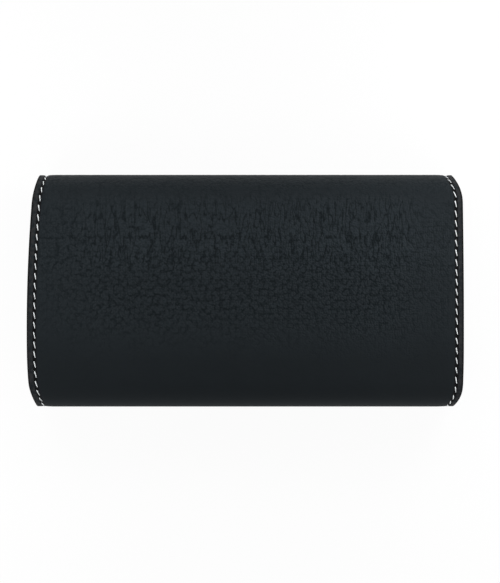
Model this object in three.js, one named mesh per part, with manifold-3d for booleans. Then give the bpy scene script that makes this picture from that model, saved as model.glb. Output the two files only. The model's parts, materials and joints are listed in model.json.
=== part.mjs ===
// A leather ever ready case for a flat-folding camera, lying closed on its back panel.
// Millimetres, +Z up. +X runs to the right, +Y to the spine, where the cover folds.
// The origin is under the middle of the case, on the surface that it lies on.
import * as THREE from 'three';
import { mergeVertices } from 'three/addons/utils/BufferGeometryUtils.js';
import Module from 'manifold-3d';

const wasm = await Module();
wasm.setup();

// The whole case
const case_width = 218.5;
const case_depth = 116.2;
const case_height = 38;
const cover_crown = 1;

// Rolled folds: how far each reaches along Y, and the height of the tray's front one
const spine_roll_reach = 14.8;
const lip_roll_reach = 12.5;
const tray_roll_reach = 10;
const tray_roll_rise = 12;

// The cover is a shallow shell over the fold line, and its lip laps over the front wall
const cover_depth = 12;
const front_wall_step = 1.5;
const front_wall_reveal = 2.5;
const lip_overlap = 14;
const lip_corner_radius = 4.5;

// Layers of the wrap
const leather_thickness = 1.8;
const board_thickness = 0.8;
const lining_thickness = 0.6;
const pad_thickness = 1.2;
const glue_gap = 0.25;
const piece_gap = 0.3;
const lip_clearance = 0.6;
const edge_bevel = 0.4;
const board_edge_inset = 1.2;
const lining_edge_inset = 0.3;
const board_end_inset = 1.4;

// The fold line lies just outside the leather, and the boards stop short of it
const fold_offset = 0.2;
const soft_fold_width = 4;

// Gussets, the end walls
const gusset_recess = 11.75;
const gusset_thickness = 1;
const gusset_lining_thickness = 0.5;
const gusset_flange_inset = 1.5;
const gusset_flange_end_inset = 1;
const gusset_edge_step = 1.2;
const gusset_cover_clearance = 0.8;
const gusset_seam_inset = 2.6;
const gusset_seam_lift = 0.12;

// Soft pads inside
const pad_side_inset = 2.7;
const pad_end_inset = 2;

// Closure magnets
const magnet_diameter = 8;
const magnet_clearance = 0.3;
const magnet_rise = 6.3;
const magnet_margin = 0.8;
const magnet_spread_share = 0.238;

// Sewing: the cover's stitches stand proud, the tray's lie in a channel
const stitch_pitch = 4.9;
const thread_radius = 0.42;
const thread_neck_radius = 0.14;
const thread_end_gap = 2.4;
const groove_width = 1.7;
const cover_groove_depth = 0.6;
const cover_thread_rise = 0.45;
const tray_groove_depth = 1.2;
const tray_thread_sink = 0.08;
const edge_seam_inset = 3.6;
const thread_sides = 5;

// The two ends of the case, each with its own taper and its own draw-in at the folds.
// A power says how sharply a corner turns in: a higher one keeps it square for longer.
const left = {
  name: 'left',
  sign: -1,
  spine_taper: 3.7,
  spine_draw: 2.1,
  spine_power_share: 2,
  lip_taper: 1.3,
  lip_draw: 2.5,
  lip_power_share: 1.85,
  tray_draw: 3.4,
  seam_inset: 3.85,
};
const right = {
  name: 'right',
  sign: 1,
  spine_taper: 0.75,
  spine_draw: 4.7,
  spine_power_share: 2.35,
  lip_taper: 0.8,
  lip_draw: 3.6,
  lip_power_share: 3,
  tray_draw: 3.4,
  seam_inset: 3.55,
};
const ends = [left, right];

// The widest line across the cover, measured from the middle towards the lip, and how far
// from the lip the ends begin to draw in towards it
const widest_line_offset = 19.8;
const lip_taper_length = 28;

// Steps of the round stretches
const roll_steps = 9;
const crown_steps = 6;
const lip_steps = 7;
const disc_sides = 24;

// Sizes that follow
const wrap_thickness = leather_thickness + board_thickness + lining_thickness + 2 * glue_gap;
const board_depth = leather_thickness + glue_gap;
const lining_depth = board_depth + board_thickness + glue_gap;
const inside_depth = wrap_thickness + piece_gap;
const spine_y = (case_depth + cover_thread_rise) / 2;
const lip_y = spine_y - case_depth;
const spine_roll_y = spine_y - spine_roll_reach;
const lip_roll_y = lip_y + lip_roll_reach;
const spine_middle_z = case_height / 2;
const fold_height = case_height - cover_depth;
const front_wall_height = fold_height - front_wall_step;
const lip_roll_z = front_wall_height - front_wall_reveal;
const lip_roll_drop = case_height - lip_roll_z;
const lip_end_height = front_wall_height - lip_overlap;
const magnet_height = lip_end_height + magnet_rise;
const magnet_distance = case_width * magnet_spread_share;

// The tray's front roll leaves a flat wall behind each magnet
const flat_wall_start = magnet_height - magnet_diameter / 2 - magnet_margin;
const tray_front_rise = Math.min(tray_roll_rise, flat_wall_start);
const tray_front_reach = Math.min(tray_roll_reach, tray_front_rise);
const tray_front_y = lip_y + wrap_thickness + lip_clearance;
const tray_roll_y = tray_front_y + tray_front_reach;

// The layers of an end wall, from its outer face inwards
const gusset_face_distance = case_width / 2 - gusset_recess;
const gusset_board_distance = gusset_face_distance - gusset_thickness - glue_gap;
const gusset_lining_distance = gusset_board_distance - board_thickness - glue_gap;
const arch_depth = inside_depth + gusset_cover_clearance;
const pad_half_width = gusset_lining_distance - gusset_lining_thickness - pad_side_inset;

// Finishes
function finish(colour, roughness, metalness) {
  return new THREE.MeshStandardMaterial({ color: colour, roughness, metalness });
}
const black_leather = finish(0x1f2427, 0.62, 0);
const gusset_leather = finish(0x22272a, 0.66, 0);
const suede = finish(0x33363a, 0.95, 0);
const pad_suede = finish(0x3a3d41, 0.97, 0);
const fibre_board = finish(0x6f5a44, 0.9, 0);
const magnet_nickel = finish(0xb4b7ba, 0.3, 1);
const thread = finish(0xd8d3c6, 0.75, 0);

// Profiles: stations along the case's side view, each with its outward normal.
// turn is how far out the station lies on a roll, from 0 on the flat to 1 at the fold's crest.
function station(y, z, normal_y, normal_z, fold, turn) {
  const length = Math.hypot(normal_y, normal_z);
  return { y, z, ny: normal_y / length, nz: normal_z / length, fold, turn };
}

function roll(centre_y, centre_z, reach, rise, from, to, fold, steps) {
  const stations = [];
  for (let i = 0; i <= steps; i += 1) {
    const angle = from + ((to - from) * i) / steps;
    const c = Math.cos(angle);
    const s = Math.sin(angle);
    stations.push(
      station(centre_y + reach * c, centre_z + rise * s, c / reach, s / rise, fold, Math.abs(c)),
    );
  }
  return stations;
}

function spineAngle(height) {
  return Math.asin((height - spine_middle_z) / spine_middle_z);
}

function crownStations() {
  const middle_y = (spine_roll_y + lip_roll_y) / 2;
  const half_length = (spine_roll_y - lip_roll_y) / 2;
  const stations = [];
  for (let i = 1; i < crown_steps; i += 1) {
    const share = 1 - (2 * i) / crown_steps;
    const slope = (2 * cover_crown * share) / half_length;
    const height = case_height + cover_crown * (1 - share * share);
    stations.push(station(middle_y + half_length * share, height, slope, 1, 'flat', 0));
  }
  return stations;
}

function lipStations() {
  const length = lip_roll_z - lip_end_height;
  const stations = [];
  for (let i = 1; i <= lip_steps; i += 1) {
    const share = i / lip_steps;
    stations.push(station(lip_y, lip_roll_z - length * share, -1, 0, 'lip', 1));
  }
  return stations;
}

const half_turn = Math.PI;
const quarter_turn = half_turn / 2;

const cover_spine = roll(
  spine_roll_y, spine_middle_z, spine_roll_reach, spine_middle_z,
  spineAngle(fold_height + piece_gap / 2), quarter_turn, 'spine', roll_steps,
);
const cover_roll = roll(
  lip_roll_y, lip_roll_z, lip_roll_reach, lip_roll_drop,
  quarter_turn, half_turn, 'lip', roll_steps,
);
const cover_crown_path = crownStations();
const cover_lip = lipStations();
const cover_path = [...cover_spine, ...cover_crown_path, ...cover_roll, ...cover_lip];

const tray_wall = [
  station(tray_front_y, front_wall_height, -1, 0, 'tray', 1),
  station(tray_front_y, (front_wall_height + tray_front_rise) / 2, -1, 0, 'tray', 1),
];
const tray_roll = roll(
  tray_roll_y, tray_front_rise, tray_front_reach, tray_front_rise,
  half_turn, half_turn + quarter_turn, 'tray', roll_steps,
);
const tray_spine = roll(
  spine_roll_y, spine_middle_z, spine_roll_reach, spine_middle_z,
  -quarter_turn, spineAngle(fold_height - piece_gap / 2), 'spine', roll_steps + 2,
);
const back_panel = [];
for (let i = 0; i <= crown_steps; i += 1) {
  const y = tray_roll_y + ((spine_roll_y - tray_roll_y) * i) / crown_steps;
  back_panel.push(station(y, 0, 0, -1, 'flat', 0));
}
const tray_path = [...tray_wall, ...tray_roll, ...back_panel.slice(1, -1), ...tray_spine];

// How far the leather reaches from the middle at a station, on one end of the case
function reachOf(end, place) {
  const widest_y = -widest_line_offset;
  const share = (place.y - widest_y) / (spine_y - widest_y);
  let draw = 0;
  if (place.fold === 'spine') draw = end.spine_draw * place.turn ** end.spine_power_share;
  if (place.fold === 'lip') draw = end.lip_draw * place.turn ** end.lip_power_share;
  if (place.fold === 'tray') draw = end.tray_draw * place.turn;
  const near_lip = Math.max(0, 1 - (place.y - lip_y) / lip_taper_length);
  draw += end.lip_taper * near_lip ** 2;
  const from_end = place.z - lip_end_height;
  if (place.fold === 'lip' && from_end < lip_corner_radius) {
    const inside = lip_corner_radius - from_end;
    draw += lip_corner_radius - Math.sqrt(lip_corner_radius ** 2 - inside ** 2);
  }
  return case_width / 2 - end.spine_taper * share * share - draw;
}

for (const place of [...cover_path, ...tray_path, ...back_panel]) {
  place.left = reachOf(left, place);
  place.right = reachOf(right, place);
}

function edgeX(end, place, inset) {
  return end.sign * (place[end.name] - inset);
}

// The path between two lengths along it, with the stations that lie between
function lengthsOf(path) {
  const lengths = [0];
  for (let i = 1; i < path.length; i += 1) {
    lengths.push(lengths[i - 1] + Math.hypot(path[i].y - path[i - 1].y, path[i].z - path[i - 1].z));
  }
  return lengths;
}

function placeAt(path, length) {
  const lengths = lengthsOf(path);
  let i = 1;
  while (i < path.length - 1 && lengths[i] < length) i += 1;
  const share = (length - lengths[i - 1]) / (lengths[i] - lengths[i - 1]);
  const a = path[i - 1];
  const b = path[i];
  const between = (key) => a[key] + (b[key] - a[key]) * share;
  const place = station(between('y'), between('z'), between('ny'), between('nz'), a.fold, a.turn);
  place.left = between('left');
  place.right = between('right');
  return place;
}

function stretch(path, from, to) {
  const lengths = lengthsOf(path);
  const end = lengths[lengths.length - 1] + to;
  const inner = path.filter(
    (place, i) => lengths[i] > from + piece_gap && lengths[i] < end - piece_gap,
  );
  return [placeAt(path, from), ...inner, placeAt(path, end)];
}

function pathLength(path) {
  const lengths = lengthsOf(path);
  return lengths[lengths.length - 1];
}

// Closed skins
function geometryFrom(points, faces) {
  const geometry = new THREE.BufferGeometry();
  geometry.setAttribute('position', new THREE.Float32BufferAttribute(points, 3));
  geometry.setIndex(faces);
  return geometry;
}

function volumeOf(points, faces) {
  let volume = 0;
  const corner = (index) => new THREE.Vector3().fromArray(points, index * 3);
  for (let i = 0; i < faces.length; i += 3) {
    volume += corner(faces[i]).dot(corner(faces[i + 1]).cross(corner(faces[i + 2])));
  }
  return volume;
}

// rings are closed loops with the same number of points; cap lists the triangles that close one
function closedSkin(rings, cap) {
  const count = rings[0].length;
  const points = rings.flat().flatMap((point) => point.toArray());
  const faces = [];
  for (let i = 0; i + 1 < rings.length; i += 1) {
    for (let j = 0; j < count; j += 1) {
      const a = i * count + j;
      const b = i * count + ((j + 1) % count);
      faces.push(a, b, b + count, a, b + count, a + count);
    }
  }
  const last = (rings.length - 1) * count;
  const forward = runsForward(cap, count);
  for (const [a, b, c] of cap) {
    const [second, third] = forward ? [b, c] : [c, b];
    faces.push(a, third, second, last + a, last + second, last + third);
  }
  if (volumeOf(points, faces) < 0) {
    for (let i = 0; i < faces.length; i += 3) {
      [faces[i + 1], faces[i + 2]] = [faces[i + 2], faces[i + 1]];
    }
  }
  return geometryFrom(points, faces);
}

// Whether the triangles of a cap go round in the order of the ring's points
function runsForward(cap, count) {
  const next = (index) => (index + 1) % count;
  return cap.some(([a, b, c]) => b === next(a) || c === next(b) || a === next(c));
}

// A layer of the wrap: section gives each station's outline as points [x, depth below the face]
function layer(path, section) {
  const rings = path.map((place) => section(place).map(([x, depth]) => (
    new THREE.Vector3(x, place.y - place.ny * depth, place.z - place.nz * depth)
  )));
  const outline = section(path[0]).map(([x, depth]) => new THREE.Vector2(x, depth));
  return closedSkin(rings, THREE.ShapeUtils.triangulateShape(outline, []));
}

function sheet(path, inset, depth, thickness) {
  return layer(path, (place) => [
    [edgeX(left, place, inset), depth],
    [edgeX(right, place, inset), depth],
    [edgeX(right, place, inset), depth + thickness],
    [edgeX(left, place, inset), depth + thickness],
  ]);
}

// Outer leather: bevelled edges and a sewing groove inside each of them
function leatherSection(place, groove_depth) {
  const half = groove_width / 2;
  const side = (end) => [
    [edgeX(end, place, 0), leather_thickness],
    [edgeX(end, place, 0), edge_bevel],
    [edgeX(end, place, edge_bevel), 0],
    [edgeX(end, place, end.seam_inset - half), 0],
    [edgeX(end, place, end.seam_inset - half / 2), groove_depth],
    [edgeX(end, place, end.seam_inset + half / 2), groove_depth],
    [edgeX(end, place, end.seam_inset + half), 0],
  ];
  return [...side(left), ...side(right).reverse()];
}

// Solids that are joined or cut
function toSolid(geometry) {
  const bare = geometry.index ? geometry.clone() : geometry;
  bare.deleteAttribute('normal');
  bare.deleteAttribute('uv');
  const merged = mergeVertices(bare);
  return new wasm.Manifold(new wasm.Mesh({
    numProp: 3,
    vertProperties: new Float32Array(merged.attributes.position.array),
    triVerts: new Uint32Array(merged.index.array),
  }));
}

function fromSolid(solid) {
  const { vertProperties, triVerts } = solid.getMesh();
  return geometryFrom(Array.from(vertProperties), Array.from(triVerts));
}

// Lays an extrusion of a Y-Z outline along X, from one distance to another
function plate(outline, from_x, to_x) {
  const shape = new THREE.Shape(outline);
  const geometry = new THREE.ExtrudeGeometry(shape, {
    depth: to_x - from_x,
    bevelEnabled: false,
  });
  geometry.applyMatrix4(new THREE.Matrix4().makeBasis(
    new THREE.Vector3(0, 1, 0),
    new THREE.Vector3(0, 0, 1),
    new THREE.Vector3(1, 0, 0),
  ));
  return geometry.translate(from_x, 0, 0);
}

// Magnets, and the holes in the boards that hold them: discs that stand along Y
function disc(radius, thickness, x, y) {
  return new THREE.CylinderGeometry(radius, radius, thickness, disc_sides)
    .translate(x, y, magnet_height);
}

function boardWithMagnetHoles(board, face_y) {
  let solid = toSolid(board);
  for (const end of ends) {
    const radius = magnet_diameter / 2 + magnet_clearance;
    const hole = disc(radius, 2 * leather_thickness, end.sign * magnet_distance, face_y);
    solid = solid.subtract(toSolid(hole));
  }
  return fromSolid(solid);
}

// Sewing thread: one unbroken run that swells over each stitch and narrows at each needle hole
const stitch_shape = [
  { share: 0, swell_share: 0 },
  { share: 0.12, swell_share: 0.9 },
  { share: 0.5, swell_share: 1 },
  { share: 0.88, swell_share: 0.9 },
];

function seam(length, start, placeOf) {
  const count = Math.floor(length / stitch_pitch);
  const first = start + (length - count * stitch_pitch) / 2;
  const rings = [];
  for (let i = 0; i <= count; i += 1) {
    for (const { share, swell_share } of stitch_shape) {
      if (i < count || share === 0) {
        const { centre, out, across } = placeOf(first + (i + share) * stitch_pitch, swell_share);
        const radius = thread_neck_radius + (thread_radius - thread_neck_radius) * swell_share;
        rings.push(threadRing(centre, out, across, radius));
      }
    }
  }
  const cap = [];
  for (let j = 1; j + 1 < thread_sides; j += 1) cap.push([0, j, j + 1]);
  return closedSkin(rings, cap);
}

function threadRing(centre, out, across, radius) {
  const ring = [];
  for (let j = 0; j < thread_sides; j += 1) {
    const angle = (2 * half_turn * j) / thread_sides;
    ring.push(centre.clone()
      .addScaledVector(out, radius * Math.cos(angle))
      .addScaledVector(across, radius * Math.sin(angle)));
  }
  return ring;
}

// depth of the thread's middle: at full swell its top lies top_depth below the leather's face
function threadDepth(swell_share, top_depth) {
  const neck_depth = top_depth + 2 * thread_radius - thread_neck_radius;
  return neck_depth + (top_depth + thread_radius - neck_depth) * swell_share;
}

function sideSeam(path, end, top_depth, start_gap, end_gap) {
  const length = pathLength(path) - start_gap - end_gap;
  return seam(length, start_gap, (along, swell_share) => {
    const place = placeAt(path, along);
    const depth = threadDepth(swell_share, top_depth);
    const x = edgeX(end, place, end.seam_inset);
    return {
      centre: new THREE.Vector3(x, place.y - place.ny * depth, place.z - place.nz * depth),
      out: new THREE.Vector3(0, place.ny, place.nz),
      across: new THREE.Vector3(1, 0, 0),
    };
  });
}

// A seam along X on an upright wall that faces the front
function wallSeam(face_y, height, from_x, to_x, top_depth) {
  return seam(to_x - from_x, from_x, (along, swell_share) => ({
    centre: new THREE.Vector3(along, face_y + threadDepth(swell_share, top_depth), height),
    out: new THREE.Vector3(0, -1, 0),
    across: new THREE.Vector3(0, 0, 1),
  }));
}

// A sewing groove along X, cut into an upright wall that faces the front
function cutWallGroove(leather, face_y, height, from_x, to_x, depth) {
  const half = groove_width / 2;
  const outline = [
    new THREE.Vector2(face_y - piece_gap, height - half * (1 + piece_gap / depth / 2)),
    new THREE.Vector2(face_y - piece_gap, height + half * (1 + piece_gap / depth / 2)),
    new THREE.Vector2(face_y + depth, height + half / 2),
    new THREE.Vector2(face_y + depth, height - half / 2),
  ];
  const groove = plate(outline, from_x - half, to_x + half);
  return fromSolid(toSolid(leather).subtract(toSolid(groove)));
}

// The tray: back panel, front wall and rear wall in one wrap
const case_group = new THREE.Group();
const tray_group = new THREE.Group();
case_group.add(tray_group);

function addPiece(group, name, geometry, material) {
  const mesh = new THREE.Mesh(geometry, material);
  mesh.name = name;
  group.add(mesh);
  return mesh;
}

const mouth_seam_height = front_wall_height - edge_seam_inset;
const mouth_seam_from = edgeX(left, tray_path[0], left.seam_inset + stitch_pitch);
const mouth_seam_to = edgeX(right, tray_path[0], right.seam_inset + stitch_pitch);
const tray_leather = cutWallGroove(
  layer(tray_path, (place) => leatherSection(place, tray_groove_depth)),
  tray_front_y, mouth_seam_height, mouth_seam_from, mouth_seam_to, tray_groove_depth,
);
addPiece(tray_group, 'tray_leather', tray_leather, black_leather);
addPiece(
  tray_group, 'tray_lining',
  sheet(tray_path, lining_edge_inset, lining_depth, lining_thickness), suede,
);

const tray_front_board = sheet(
  stretch([...tray_wall, ...tray_roll], board_end_inset, -piece_gap),
  board_edge_inset, board_depth, board_thickness,
);
const tray_board_y = tray_front_y + board_depth + board_thickness / 2;
addPiece(
  tray_group, 'tray_board_front',
  boardWithMagnetHoles(tray_front_board, tray_board_y), fibre_board,
);
addPiece(
  tray_group, 'tray_board_back',
  sheet(
    stretch(back_panel, piece_gap, -piece_gap),
    board_edge_inset, board_depth, board_thickness,
  ),
  fibre_board,
);
addPiece(
  tray_group, 'tray_board_rear',
  sheet(
    stretch(tray_spine, piece_gap, -soft_fold_width),
    board_edge_inset, board_depth, board_thickness,
  ),
  fibre_board,
);

// Pads lie on the linings, between the rolls
function pad(path) {
  return layer(path, () => [
    [-pad_half_width, inside_depth],
    [pad_half_width, inside_depth],
    [pad_half_width, inside_depth + pad_thickness],
    [-pad_half_width, inside_depth + pad_thickness],
  ]);
}
addPiece(tray_group, 'base_pad', pad(stretch(back_panel, pad_end_inset, -pad_end_inset)), pad_suede);

// Gussets: an end wall with a flange that is turned outwards and sewn along the tray's edge
function insideOutline(path, depth) {
  return path.map((place) => (
    new THREE.Vector2(place.y - place.ny * depth, place.z - place.nz * depth)
  ));
}

function gussetPath() {
  return stretch(tray_path, gusset_flange_end_inset, -soft_fold_width);
}

// The arched top of an end wall follows the inside of the closed cover, from the rear to
// above the front wall, where it ends at one distance along Y
const arch_path = [...cover_spine, ...cover_crown_path, ...cover_roll];

function archOutline(depth, front_end_y) {
  const points = insideOutline(stretch(arch_path, soft_fold_width, 0), depth);
  const past = points.findIndex((point) => point.x < front_end_y);
  const before = points[past - 1];
  const share = (front_end_y - before.x) / (points[past].x - before.x);
  return [...points.slice(0, past), before.clone().lerp(points[past], share)];
}

// A whole end wall: the tray's inside from front to rear, and back over the arch
function gussetOutline(path, tray_depth, top_depth) {
  const rim = insideOutline(path, tray_depth);
  return [...rim, ...archOutline(top_depth, rim[0].x)];
}

function alongLine(points, length) {
  let i = 1;
  let passed = 0;
  while (i < points.length - 1 && passed + points[i].distanceTo(points[i - 1]) < length) {
    passed += points[i].distanceTo(points[i - 1]);
    i += 1;
  }
  const direction = points[i].clone().sub(points[i - 1]).normalize();
  return { direction, point: points[i - 1].clone().addScaledVector(direction, length - passed) };
}

// The hem seam under a gusset's arched top edge, on its outer face
function gussetSeam(end) {
  const rim = insideOutline(gussetPath(), inside_depth + gusset_thickness);
  const line = archOutline(arch_depth + gusset_seam_inset, rim[0].x + gusset_seam_inset);
  let length = 0;
  for (let i = 1; i < line.length; i += 1) length += line[i].distanceTo(line[i - 1]);
  return seam(length, 0, (along, swell_share) => {
    const lift = gusset_seam_lift + thread_neck_radius
      + (thread_radius - thread_neck_radius) * swell_share;
    const { point, direction } = alongLine(line, along);
    return {
      centre: new THREE.Vector3(end.sign * (gusset_face_distance + lift), point.x, point.y),
      out: new THREE.Vector3(end.sign, 0, 0),
      across: new THREE.Vector3(0, -direction.y, direction.x),
    };
  });
}

function outwards(end, near, far) {
  return end.sign < 0 ? [-far, -near] : [near, far];
}

function gussetLeather(end) {
  const path = gussetPath();
  const inner_x = gusset_face_distance - gusset_thickness;
  const flange = layer(path, (place) => [
    [end.sign * inner_x, inside_depth],
    [edgeX(end, place, gusset_flange_inset), inside_depth],
    [edgeX(end, place, gusset_flange_inset), inside_depth + gusset_thickness],
    [end.sign * inner_x, inside_depth + gusset_thickness],
  ]);
  const outline = gussetOutline(path, inside_depth + gusset_thickness / 2, arch_depth);
  const wall = plate(outline, ...outwards(end, inner_x, gusset_face_distance));
  return fromSolid(toSolid(flange).add(toSolid(wall)));
}

const gusset_board_end_inset = gusset_flange_end_inset + gusset_edge_step;
for (const end of ends) {
  addPiece(tray_group, `gusset_${end.name}_leather`, gussetLeather(end), gusset_leather);
  addPiece(
    tray_group, `gusset_${end.name}_board`,
    plate(
      gussetOutline(
        stretch(tray_path, gusset_board_end_inset, -soft_fold_width - gusset_edge_step),
        inside_depth + gusset_thickness, arch_depth + gusset_edge_step,
      ),
      ...outwards(end, gusset_board_distance - board_thickness, gusset_board_distance),
    ),
    fibre_board,
  );
  addPiece(
    tray_group, `gusset_${end.name}_lining`,
    plate(
      gussetOutline(gussetPath(), inside_depth, arch_depth),
      ...outwards(end, gusset_lining_distance - gusset_lining_thickness, gusset_lining_distance),
    ),
    suede,
  );
  addPiece(tray_group, `gusset_${end.name}_seam`, gussetSeam(end), thread);
  addPiece(
    tray_group, `tray_magnet_${end.name}`,
    disc(magnet_diameter / 2, board_thickness, end.sign * magnet_distance, tray_board_y),
    magnet_nickel,
  );
  addPiece(
    tray_group, `tray_seam_${end.name}`,
    sideSeam(tray_path, end, tray_thread_sink, edge_seam_inset, thread_end_gap),
    thread,
  );
}
addPiece(
  tray_group, 'tray_seam_mouth',
  wallSeam(tray_front_y, mouth_seam_height, mouth_seam_from, mouth_seam_to, tray_thread_sink),
  thread,
);

// The cover: spine, face and lip, hung on the fold line
const fold = placeAt(
  [cover_spine[0], tray_spine[tray_spine.length - 1]],
  piece_gap / 2,
);
const fold_y = fold.y + fold.ny * fold_offset;
const fold_z = fold.z + fold.nz * fold_offset;
const cover_group = new THREE.Group();
cover_group.position.set(0, fold_y, fold_z);
case_group.add(cover_group);

function addCoverPiece(name, geometry, material) {
  addPiece(cover_group, name, geometry, material).position.set(0, -fold_y, -fold_z);
}

const lip_seam_height = lip_end_height + edge_seam_inset;
const lip_seam_place = cover_path[cover_path.length - 1 - lip_steps];
const lip_seam_from = edgeX(left, lip_seam_place, left.seam_inset + stitch_pitch);
const lip_seam_to = edgeX(right, lip_seam_place, right.seam_inset + stitch_pitch);
const cover_leather = cutWallGroove(
  layer(cover_path, (place) => leatherSection(place, cover_groove_depth)),
  lip_y, lip_seam_height, lip_seam_from, lip_seam_to, cover_groove_depth,
);
addCoverPiece('cover_leather', cover_leather, black_leather);
addCoverPiece(
  'cover_lining',
  sheet(cover_path, lining_edge_inset, lining_depth, lining_thickness), suede,
);
addCoverPiece(
  'cover_board_spine',
  sheet(
    stretch(cover_spine, soft_fold_width, -piece_gap),
    board_edge_inset, board_depth, board_thickness,
  ),
  fibre_board,
);
const face_path = [cover_spine[cover_spine.length - 1], ...cover_crown_path, cover_roll[0]];
addCoverPiece(
  'cover_board_top',
  sheet(
    stretch(face_path, piece_gap, -piece_gap),
    board_edge_inset, board_depth, board_thickness,
  ),
  fibre_board,
);
const cover_lip_board = sheet(
  stretch([...cover_roll, ...cover_lip], piece_gap, -board_end_inset),
  board_edge_inset, board_depth, board_thickness,
);
const cover_board_y = lip_y + board_depth + board_thickness / 2;
addCoverPiece(
  'cover_board_lip',
  boardWithMagnetHoles(cover_lip_board, cover_board_y), fibre_board,
);
addCoverPiece('cover_pad', pad(stretch(face_path, pad_end_inset, -pad_end_inset)), pad_suede);

for (const end of ends) {
  addCoverPiece(
    `cover_magnet_${end.name}`,
    disc(magnet_diameter / 2, board_thickness, end.sign * magnet_distance, cover_board_y),
    magnet_nickel,
  );
  addCoverPiece(
    `cover_seam_${end.name}`,
    sideSeam(
      cover_path, end, -cover_thread_rise,
      thread_end_gap, edge_seam_inset + stitch_pitch / 2,
    ),
    thread,
  );
}
addCoverPiece(
  'cover_seam_lip',
  wallSeam(lip_y, lip_seam_height, lip_seam_from, lip_seam_to, -cover_thread_rise),
  thread,
);

export default case_group;
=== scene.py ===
"""A leather ever ready case for a folding camera: its looks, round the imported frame.

Everything is in metres in the frame's axes: +X right, +Y to the spine, +Z up.
The wrap is worked out flat. x runs along the case and s along its side view: from the
top of the front wall, under the case, up the spine, over the cover and down the lip.
depth is measured inwards from the leather's outer face. fold_up() makes it a case.
"""

import json
import math

import bpy
import numpy as np
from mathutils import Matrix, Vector
from mathutils.kdtree import KDTree


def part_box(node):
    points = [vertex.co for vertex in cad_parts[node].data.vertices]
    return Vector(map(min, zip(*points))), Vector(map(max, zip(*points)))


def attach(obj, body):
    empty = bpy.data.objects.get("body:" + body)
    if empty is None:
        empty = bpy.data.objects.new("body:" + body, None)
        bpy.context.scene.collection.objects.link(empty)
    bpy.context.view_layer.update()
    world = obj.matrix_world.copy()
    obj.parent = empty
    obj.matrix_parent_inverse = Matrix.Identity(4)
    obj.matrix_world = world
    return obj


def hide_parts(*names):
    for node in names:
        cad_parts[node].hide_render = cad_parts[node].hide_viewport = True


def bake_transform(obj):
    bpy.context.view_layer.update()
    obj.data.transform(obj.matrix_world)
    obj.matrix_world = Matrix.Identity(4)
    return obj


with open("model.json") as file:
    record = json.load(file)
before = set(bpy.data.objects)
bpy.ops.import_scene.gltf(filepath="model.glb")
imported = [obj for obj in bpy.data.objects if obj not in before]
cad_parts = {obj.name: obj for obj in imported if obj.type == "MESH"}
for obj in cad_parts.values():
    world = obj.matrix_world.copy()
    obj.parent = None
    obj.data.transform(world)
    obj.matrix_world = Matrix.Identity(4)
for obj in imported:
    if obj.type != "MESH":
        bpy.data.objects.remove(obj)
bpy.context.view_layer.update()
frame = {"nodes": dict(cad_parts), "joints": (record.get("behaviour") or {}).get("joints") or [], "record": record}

MM = 0.001

# The wrap's side view, as the frame's solids have it
CASE_WIDTH = 218.5 * MM
CASE_DEPTH = 116.2 * MM
SPINE_REACH = 14.8 * MM
LIP_REACH = 12.5 * MM
LIP_ROLL_Z = 22 * MM
FRONT_REACH = 10 * MM
FRONT_RISE = 12 * MM
FRONT_WALL_TOP = 24.5 * MM
COVER_CROWN = 1 * MM
LIP_CORNER = 4.5 * MM
WIDEST_LINE = -19.8 * MM
LIP_TAPER_LENGTH = 28 * MM

# Layers, as depths below the leather's face
LEATHER = 1.8 * MM
EDGE_BOTTOM = 3.05 * MM
LINING_TOP = 3.1 * MM
LINING_BOTTOM = 3.7 * MM
INSIDE = 4.0 * MM
ARCH_DEPTH = 4.8 * MM
GUSSET_THICKNESS = 1.0 * MM
GUSSET_LINING = 0.5 * MM
PAD_THICKNESS = 1.2 * MM

# The turned and painted edge of the leather: its rounding, and insets and depths below it
EDGE_RADIUS = 0.8 * MM
EDGE_WIDTH = 1.05 * MM
PAINT_WIDTH = 0.75 * MM
TURNED_INSETS = np.array([0, 0, 0.4 * MM, EDGE_WIDTH, EDGE_WIDTH])
TURNED_DEPTHS = np.array([1.6 * MM, 2.5 * MM, EDGE_BOTTOM, EDGE_BOTTOM])

# The left and the right end: taper towards the spine and the lip, how far the leather draws
# in at each fold and how sharply, the seam's distance from the edge, and one stitch's y
END_VALUES = {
    "sign": (-1, 1),
    "spine_taper": (3.7 * MM, 0.75 * MM),
    "spine_draw": (2.1 * MM, 4.7 * MM),
    "spine_power": (2, 2.35),
    "lip_taper": (1.3 * MM, 0.8 * MM),
    "lip_draw": (2.5 * MM, 3.6 * MM),
    "lip_power": (1.85, 3),
    "seam_inset": (3.85 * MM, 3.55 * MM),
    "stitch_at": (17.1 * MM, 19.0 * MM),
}
ENDS = {
    side: {key: values[index] for key, values in END_VALUES.items()}
    for index, side in enumerate(("left", "right"))
}
TRAY_DRAW = 3.4 * MM

# End walls: where they stand, their flange, their binding and their hem
GUSSET_RECESS = 11.75 * MM
GUSSET_LINING_RECESS = 14.05 * MM
GUSSET_START = 1.0 * MM
SOFT_FOLD = 4.0 * MM
FLANGE_INSET = 1.5 * MM
GUSSET_BEND = 2.2 * MM
GUSSET_END_BEND = 0.2 * MM
GUSSET_FADE = 9 * MM
GUSSET_BULGE = 0.5 * MM
WALL_LINING_GAP = 0.1 * MM
BINDING = 0.3 * MM
BINDING_WIDTH = 4.4 * MM
BINDING_ROUND = 0.8 * MM
HEM_SEAM = 2.6 * MM
WALL_FACE = CASE_WIDTH / 2 - GUSSET_RECESS
WALL_INSIDE = CASE_WIDTH / 2 - GUSSET_LINING_RECESS - GUSSET_LINING
HEM_OUTSIDE = WALL_FACE + BINDING
HEM_INSIDE = WALL_INSIDE - BINDING

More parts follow.
